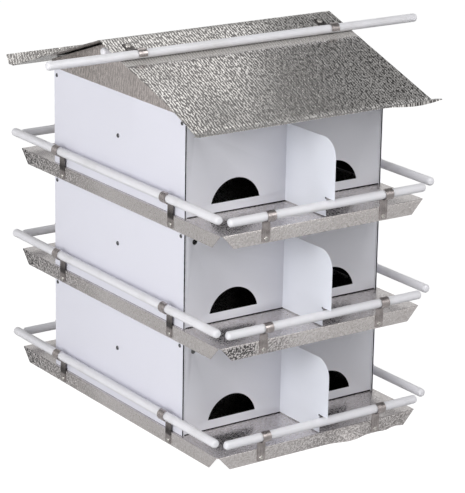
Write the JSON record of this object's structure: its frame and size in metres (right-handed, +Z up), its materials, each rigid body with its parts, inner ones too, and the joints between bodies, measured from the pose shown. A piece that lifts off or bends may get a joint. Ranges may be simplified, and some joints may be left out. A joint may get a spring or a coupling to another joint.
{
  "type": "purple martin birdhouse",
  "caption": "Multi-storey sheet-metal martin house with porch decks, half-round entrances, porch dividers, perch rails on strap clips and a pitched embossed roof.",
  "frame": {"origin": "on the floor under the middle of the house, midway between its ends and its porches", "axes": "+X along the ridge, -Y out of the front, +Z up"},
  "size_m": [0.608, 0.546, 0.5335],
  "materials": {
    "embossed_sheet": "pebble-embossed mill-finish aluminium sheet",
    "white_enamel": "white baked enamel on aluminium sheet",
    "white_rod": "smooth white plastic rod",
    "strap_metal": "dull bent metal strap"
  },
  "bodies": {
    "root": {"lower_deck": "embossed_sheet", "lower_front_wall": "white_enamel", "lower_back_wall": "white_enamel", "lower_left_end_panel": "white_enamel", "lower_right_end_panel": "white_enamel", "lower_front_divider": "white_enamel", "lower_back_divider": "white_enamel", "lower_front_rail": "white_rod", "lower_back_rail": "white_rod", "lower_left_rail": "white_rod", "lower_right_rail": "white_rod", "lower_rail_clips": "strap_metal", "middle_deck": "embossed_sheet", "middle_front_wall": "white_enamel", "middle_back_wall": "white_enamel", "middle_left_end_panel": "white_enamel", "middle_right_end_panel": "white_enamel", "middle_front_divider": "white_enamel", "middle_back_divider": "white_enamel", "middle_front_rail": "white_rod", "middle_back_rail": "white_rod", "middle_left_rail": "white_rod", "middle_right_rail": "white_rod", "middle_rail_clips": "strap_metal", "upper_deck": "embossed_sheet", "upper_front_wall": "white_enamel", "upper_back_wall": "white_enamel", "upper_left_end_panel": "white_enamel", "upper_right_end_panel": "white_enamel", "upper_front_divider": "white_enamel", "upper_back_divider": "white_enamel", "upper_front_rail": "white_rod", "upper_back_rail": "white_rod", "upper_left_rail": "white_rod", "upper_right_rail": "white_rod", "upper_rail_clips": "strap_metal", "roof": "embossed_sheet", "left_gable": "embossed_sheet", "right_gable": "embossed_sheet", "ridge_rod": "white_rod", "perch_rod": "white_rod", "perch_clips": "strap_metal"}
  },
  "joints": []
}
